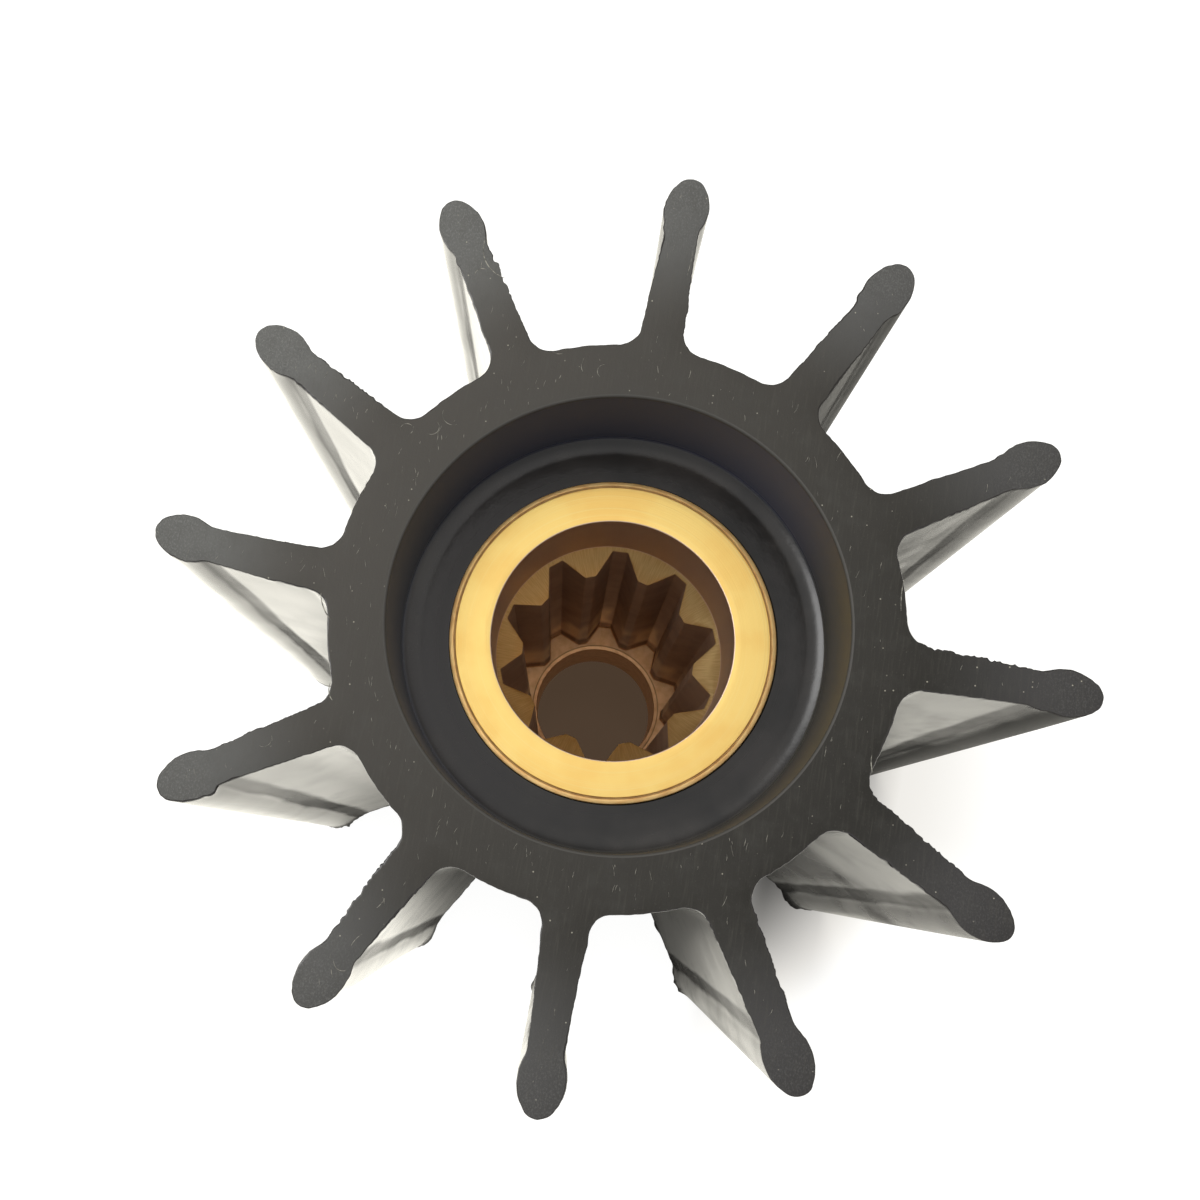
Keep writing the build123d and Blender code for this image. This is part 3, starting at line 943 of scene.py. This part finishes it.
def turnedBrassFinish(s):
    c = s["finish"]
    # faced in a lathe: fine rings, a few deeper feed lines, warm smears of tarnish
    material, wire = newFinish("turnedBrassFace")
    place = millimetres(wire)
    radius, angle = fromAxis(place), roundAxis(place)
    feed = noise(joined(radius * 5.5, angle * 0.35, 0.0), 1.0, 3, 0.6)
    fine = noise(joined(radius * 16, angle * 0.8, 3.0), 1.0, 2, 0.5)
    smear = noise(place, 0.16, 3, 0.55)
    base = smear.ramp(0.38, 0.66).tints(c["turned"])
    base = (feed.ramp(0.5, 0.75) * 0.35).blend(base, opaque(c["feedLines"]))
    rough = c["turnedRough"] + 0.10 * feed + 0.08 * smear
    brassSurface(wire, base, rough, bump(feed * 0.6 + fine * 0.35, 0.00004, 0.6))
    return material


def centred(place, s):
    # measured from the axis of the bush
    return place.vector("SUBTRACT", (s["shift"], 0, 0))


def stainedRingFinish(s):
    c = s["finish"]
    # outer ring, stained by the bonding primer, with painted shade in the scored groove
    material, wire = newFinish("stainedBrassRing")
    place = centred(millimetres(wire), s)
    radius, angle = fromAxis(place), roundAxis(place)
    land = s["landRadius"]
    score = radius.ramp(land - 0.04, land + 0.05) * radius.ramp(land + 0.22, land + 0.13)
    blotch = noise(joined(radius * 2.0, angle * 9, 0.0), 1.0, 3, 0.6)
    base = blotch.ramp(0.4, 0.65).tints(c["ring"])
    base = (score * (0.6 + 0.5 * blotch)).blend(base, opaque(c["score"]))
    brassSurface(wire, base, c["ringRough"] + 0.14 * blotch, bump(blotch, 0.00005, 0.5))
    return material


def boredBrassFinish(s):
    c = s["finish"]
    # bore, spline flanks and plain bore: broached and bored, browned with handling
    material, wire = newFinish("broachedBrass")
    place = millimetres(wire)
    radius, angle = fromAxis(place), roundAxis(place)
    height = split(place)[2]
    drawn = noise(joined(angle * 60, radius * 2.0, height * 0.06), 1.0, 3, 0.6)
    stain = noise(place, 0.22, 3, 0.6)
    base = stain.ramp(0.35, 0.7).tints(c["bore"])
    base = (drawn.ramp(0.5, 0.8) * 0.25).blend(base, opaque(c["drawnLines"]))
    # counterbore above the teeth, and a painted reflection of the ledge as bright patches on the lower flanks
    base = height.ramp(64.8, 65.8).blend(base, opaque(c["counterbore"]))
    burrs = height.ramp(20.0, 22.0) * height.ramp(34.0, 28.0)
    burrs = burrs * noise(joined(angle * 3.2, height * 0.05, 0.0), 1.0, 1, 0.5).ramp(0.40, 0.55)
    base = burrs.blend(base, opaque(c["burrs"]))
    # painted shade: a dark band at the lower ends of the grooves, just above the ledge
    grooveEnds = height.ramp(20.4, 19.4) * height.ramp(16.6, 17.4)
    base = grooveEnds.blend(base, opaque(c["grooveEnds"]))
    brassSurface(wire, base, c["boreRough"] + 0.10 * drawn + 0.08 * stain, bump(drawn, 0.00005, 0.4))
    return material


def leadInFinish(s):
    c = s["finish"]
    # cone at the mouth of the spline: turned, then dragged by the broach
    material, wire = newFinish("brassLeadIn")
    place = millimetres(wire)
    radius, angle = fromAxis(place), roundAxis(place)
    drag = noise(joined(radius * 0.5, angle * 95, 0.0), 1.0, 3, 0.65)
    turned = noise(joined(radius * 7, angle * 1.5, 0.0), 1.0, 2, 0.5)
    base = drag.ramp(0.35, 0.7).tints(c["leadIn"])
    brassSurface(wire, base, c["leadInRough"] + 0.12 * drag, bump(drag * 0.6 + turned * 0.5, 0.00005, 0.6))
    return material


def ledgeFinish(s):
    c = s["finish"]
    # flat ledge below the spline and the worn chamfer inside it, with a dark line between them
    material, wire = newFinish("brassLedge")
    place = centred(millimetres(wire), s)
    radius = fromAxis(place)
    lip = s["pilotRadius"] + s["pilotLip"][0]
    mottle = noise(place, 0.8, 3, 0.6)
    line = radius.ramp(lip - 0.16, lip - 0.06) * radius.ramp(lip + 0.12, lip + 0.02)
    base = mottle.ramp(0.35, 0.7).tints(c["ledge"])
    base = (line * 0.75).blend(base, opaque(c["ledgeLine"]))
    brassSurface(wire, base, c["ledgeRough"] + 0.12 * mottle, bump(mottle, 0.00006, 0.4))
    return material


brassFinishes = (turnedBrassFinish, stainedRingFinish, boredBrassFinish, leadInFinish, ledgeFinish)
brass = buildBrass(brassSettings, [finish(brassSettings) for finish in brassFinishes])
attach(brass, "root")
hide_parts("brass_insert")


stageSettings = {
    "size": 6.0,
    "paper": (0.88, 0.858, 0.7788),
    "paperInBore": (0.05, 0.035, 0.025),
    "paperSeen": 0.2,                   # how much of the paper's lit colour shows next to its own glow
    "glow": 1.0,                        # light from the paper itself, which keeps it white
    "glowTint": ((1, 1, 0.995), (1, 0.975, 0.935), (0.072, 0.046, 0.029)),  # open, shaded, in the bore
    "mirrorTint": (1, 0.972, 0.87),     # what the glossy vanes see of it
    "mirrorGlow": (0.95, 0.24),         # on the windows' side and on the far side
    "shadowReach": 0.07,
    "shadeSide": (0.020, 0.033),        # the paper is shaded on the side away from the windows
    "shadeNear": (0.036, 0.061),        # from the hub out to here
    "shadeDepth": 0.94,
    "haze": 0.28,                       # faint shade that reaches past the vanes along +X
    "hazeFar": (0.050, 0.080),
    "hazeSides": ((-0.028, -0.008), (0.026, 0.004)),    # its edges along Y
    "boreRadius": (0.012, 0.019),       # inside the bore the paper is painted dark as shade, and brown as reflected brass
    "boreGlow": 1.1,
}


def buildFloor(s):
    half = s["size"] / 2
    mesh = bpy.data.meshes.new("paperFloor")
    corners = [(-half, -half, 0), (half, -half, 0), (half, half, 0), (-half, half, 0)]
    mesh.from_pydata(corners, [], [(0, 1, 2, 3)])
    floor = placed("paperFloor", mesh)
    material, wire = newFinish("whitePaper")
    path = wire.node("ShaderNodeLightPath")
    seen, glossy, through = (path.also("Is " + ray + " Ray") for ray in ("Camera", "Glossy", "Transmission"))
    either = wire.math("MAXIMUM", seen, wire.math("MAXIMUM", glossy, through))
    clear = wire.node("ShaderNodeAmbientOcclusion", {"samples": 8}, {"Distance": s["shadowReach"]}, out=1)
    place = wire.node("ShaderNodeTexCoord", out=3)
    x, y, _ = split(place)
    reach = place.vector("LENGTH", out=1)
    bore = reach.ramp(*s["boreRadius"])

    # as the camera sees it
    side = x.ramp(*s["shadeSide"])
    near = side * (1 - reach.ramp(*s["shadeNear"])) * s["shadeDepth"]
    south, north = s["hazeSides"]
    haze = side * (y.ramp(*south) * y.ramp(*north)) * (1 - reach.ramp(*s["hazeFar"])) * s["haze"]
    shade = wire.math("MAXIMUM", near, haze)
    closed = 1 - clear.ramp(0.05, 0.45)
    lit = (1 - shade) * (1 - closed * (0.06 + 0.14 * side))

    # as the glossy vanes see it: dark near the hub, and brightest towards the windows
    opened = clear + dotted(place, (-0.4, 0.9, 0.0)).ramp(-0.012, 0.02, 0.0, 0.4)
    opened = opened + x.ramp(-0.006, -0.03, 0.0, 0.28)
    opened = opened + x.ramp(0.02, 0.035) * y.ramp(-0.008, -0.02) * 0.2
    mirror = opened.ramp(0.25, 0.8) * dotted(place, (0.95, 0.30, 0.0)).ramp(-0.03, 0.015, *s["mirrorGlow"])
    mirror = mirror + s["boreGlow"] * (1 - bore)

    paper = bore.tints((s["paperInBore"], s["paper"]))
    paper = paper.vector("MULTIPLY", seen.blend((1, 1, 1, 1), opaque([s["paperSeen"]] * 3)))
    openTint, shadeTint, boreTint = (opaque(colour) for colour in s["glowTint"])
    warm = seen.blend(opaque(s["mirrorTint"]), shade.ramp(0.0, 0.35).blend(openTint, shadeTint))
    tint = bore.blend(boreTint, warm)
    strength = seen * lit * s["glow"] + (either - seen) * mirror
    sheet = wire.node("ShaderNodeBsdfDiffuse", None, {"Color": paper})
    glow = wire.node("ShaderNodeEmission", None, {"Color": tint, "Strength": strength})
    both = wire.node("ShaderNodeAddShader", None, {0: sheet, 1: glow})
    wire.node("ShaderNodeOutputMaterial", None, {"Surface": both})
    mesh.materials.append(material)


buildFloor(stageSettings)


roomSettings = {
    "backdrop": 1.0,                    # brightness past the edge of the paper
    "windowGlow": 6.0,
    "windowWest": (-0.15, -0.42),       # the windows' edges, as x, y and z of a direction
    "windowSouth": (-0.26, 0.02),
    "windowNorth": (0.46, 0.14),
    "windowSill": (0.62, 0.74),
    "windowHead": (0.94, 0.84),
    "ceiling": (0.55, 0.85, 0.36, 1.02),    # from the walls' brightness to the ceiling's
    "southDimmed": (0.0, -0.35, 0.0, 0.22),
    "eastDimmed": (0.02, 0.4, 0.0, 0.12),
}


def buildRoom(s):
    # pale room with a wall of windows along -X
    world = bpy.data.worlds.new("paleRoom")
    bpy.context.scene.world = world
    world.use_nodes = True
    world.node_tree.nodes.clear()
    wire = Wire(world.node_tree)
    seen = wire.node("ShaderNodeLightPath").also("Is Camera Ray")
    east, north, up = split(wire.node("ShaderNodeTexCoord", out=0))
    wide = north.ramp(*s["windowSouth"]) * north.ramp(*s["windowNorth"])
    windows = east.ramp(*s["windowWest"]) * wide * up.ramp(*s["windowSill"]) * up.ramp(*s["windowHead"])
    strength = up.ramp(*s["ceiling"]) + s["windowGlow"] * windows
    strength = strength - north.ramp(*s["southDimmed"]) - east.ramp(*s["eastDimmed"])
    room = wire.node("ShaderNodeBackground", None, {"Color": (1, 1, 1, 1), "Strength": strength})
    backdrop = wire.node("ShaderNodeBackground", None, {"Color": (1, 1, 1, 1), "Strength": s["backdrop"]})
    mixed = wire.node("ShaderNodeMixShader", None, {0: seen, 1: room, 2: backdrop})
    wire.node("ShaderNodeOutputWorld", None, {0: mixed})


buildRoom(roomSettings)


lampSettings = {
    "place": (-0.008, 0.185, 1.45),
    "aim": (0, 0, 0.05),
    "size": 0.11,
    "power": 11.0,
    "tint": (1.0, 0.99, 0.97),
}


def buildLamp(s):
    lamp = bpy.data.lights.new("ceilingLamp", "AREA")
    lamp.size = s["size"]
    lamp.energy = s["power"]
    lamp.color = s["tint"]
    thing = placed("ceilingLamp", lamp)
    thing.location = s["place"]
    thing.rotation_euler = (Vector(s["aim"]) - Vector(s["place"])).to_track_quat("-Z", "Y").to_euler()
    thing.visible_glossy = False


buildLamp(lampSettings)


cameraSettings = {
    "place": (-0.00194, -0.02447, 0.21259),
    "turn": (10.417, 1.244, 9.778),     # degrees
    "sensor": 36,
    "lens": 38.383,
    "shift": (0.0609, 0.02385),
    "clipStart": 0.01,
}


def buildCamera(s):
    camera = bpy.data.cameras.new("viewCamera")
    camera.sensor_width = s["sensor"]
    camera.lens = s["lens"]
    camera.shift_x, camera.shift_y = s["shift"]
    camera.clip_start = s["clipStart"]
    thing = placed("viewCamera", camera)
    thing.location = s["place"]
    thing.rotation_euler = [math.radians(turn) for turn in s["turn"]]
    bpy.context.scene.camera = thing


buildCamera(cameraSettings)
bpy.context.scene.view_settings.view_transform = "Standard"
print("floor, room, lamp and camera ready")
